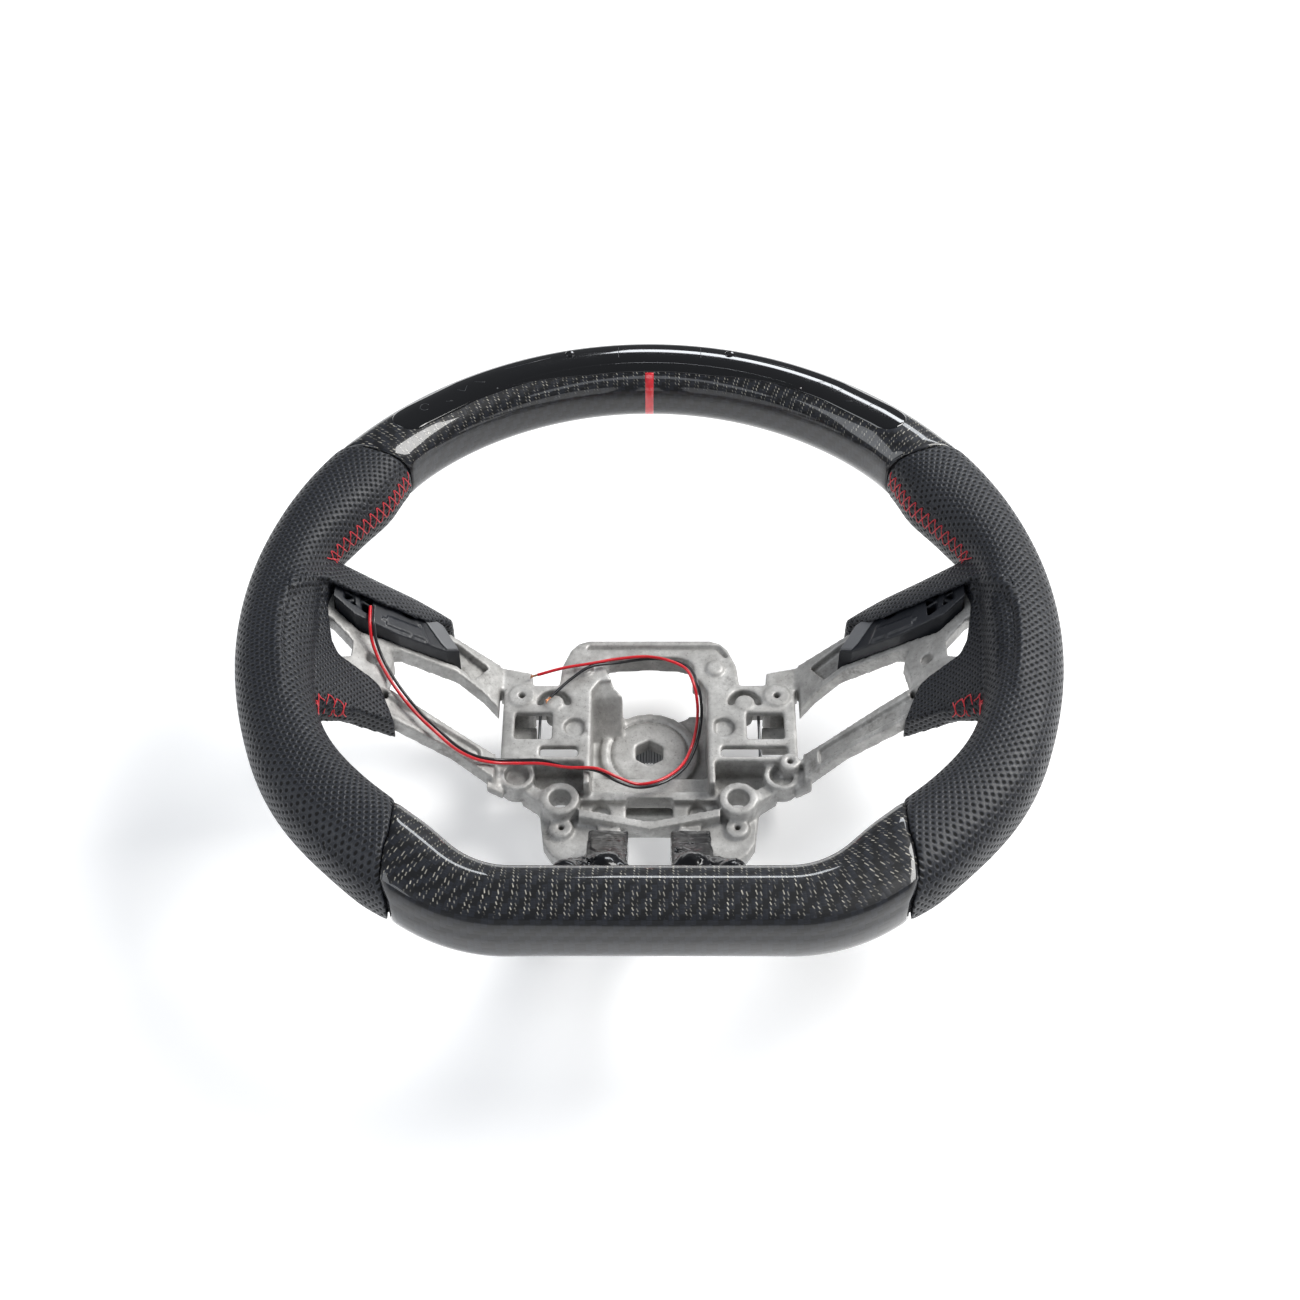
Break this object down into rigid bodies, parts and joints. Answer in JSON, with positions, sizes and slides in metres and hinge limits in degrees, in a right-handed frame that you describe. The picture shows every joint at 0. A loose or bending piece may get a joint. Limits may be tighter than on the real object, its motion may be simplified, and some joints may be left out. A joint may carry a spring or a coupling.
{
  "type": "bare sports steering wheel",
  "caption": "Flat-bottomed sports steering wheel, bare: cast hub and spokes, carbon and perforated leather rim, strip display in the top of the rim, loose two-core lead.",
  "frame": {"origin": "under the middle of the wheel, on the surface that the column boss rests on", "axes": "+Z faces the driver, +Y points to 12 o'clock, +X to the driver's right; the column axis is parallel to Z at Y = -0.011 m"},
  "size_m": [0.37, 0.3478, 0.1288],
  "materials": {
    "cast": "as-cast magnesium, matt and mottled",
    "steel": "bare steel",
    "foam": "matt moulded foam",
    "leather": "perforated leather, satin",
    "weave": "clear-coated twill carbon fibre",
    "gloss_black": "smoked gloss black",
    "black_plastic": "moulded black plastic",
    "red_stripe": "red under clear coat",
    "resin": "wrinkled black resin",
    "board": "circuit board",
    "light_guide": "smoked light guide",
    "red_sheath": "red wire sheath",
    "black_sheath": "black wire sheath",
    "copper": "bare copper strands"
  },
  "bodies": {
    "wheel": {"hub_casting": "cast", "column_insert": "steel", "rim_hoop": "cast", "rim_foam_top": "foam", "rim_foam_bottom": "foam", "rim_foam_left": "foam", "rim_foam_right": "foam", "carbon_top_shell": "weave", "carbon_bottom_shell": "weave", "centre_stripe": "red_stripe", "display_housing": "black_plastic", "display_board": "board", "display_screen": "light_guide", "display_lens": "gloss_black", "spoke_frame_left": "cast", "leather_cover_left": "leather", "leather_upper_wrap_left": "leather", "leather_lower_wrap_left": "leather", "switch_bracket_left": "black_plastic", "bracket_screw_left": "steel", "resin_wrap_left": "resin", "shift_light_left": "light_guide", "spoke_frame_right": "cast", "leather_cover_right": "leather", "leather_upper_wrap_right": "leather", "leather_lower_wrap_right": "leather", "switch_bracket_right": "black_plastic", "bracket_screw_right": "steel", "resin_wrap_right": "resin", "shift_light_right": "light_guide", "lead_red": "red_sheath", "lead_black": "black_sheath", "bare_end_red": "copper", "bare_end_black": "copper"},
    "spring_left": {"airbag_spring_left": "steel"},
    "spring_right": {"airbag_spring_right": "steel"},
    "button_left": {"display_button_left": "gloss_black"},
    "button_right": {"display_button_right": "gloss_black"}
  },
  "joints": [
    {"name": "airbag_spring_left_flex", "type": "hinge", "parent": "wheel", "child": "spring_left", "pos_m": [-0.046, 0.002, 0.036], "axis": [0, 0, -1], "range_deg": [0, 6], "stiffness_Nm_per_rad": 0.5},
    {"name": "airbag_spring_right_flex", "type": "hinge", "parent": "wheel", "child": "spring_right", "pos_m": [0.046, 0.002, 0.036], "axis": [0, 0, 1], "range_deg": [0, 6], "stiffness_Nm_per_rad": 0.5},
    {"name": "display_button_left_press", "type": "slide", "parent": "wheel", "child": "button_left", "axis": [0, 0, -1], "range_m": [0, 0.0005], "stiffness_N_per_m": 900},
    {"name": "display_button_right_press", "type": "slide", "parent": "wheel", "child": "button_right", "axis": [0, 0, -1], "range_m": [0, 0.0005], "stiffness_N_per_m": 900}
  ]
}
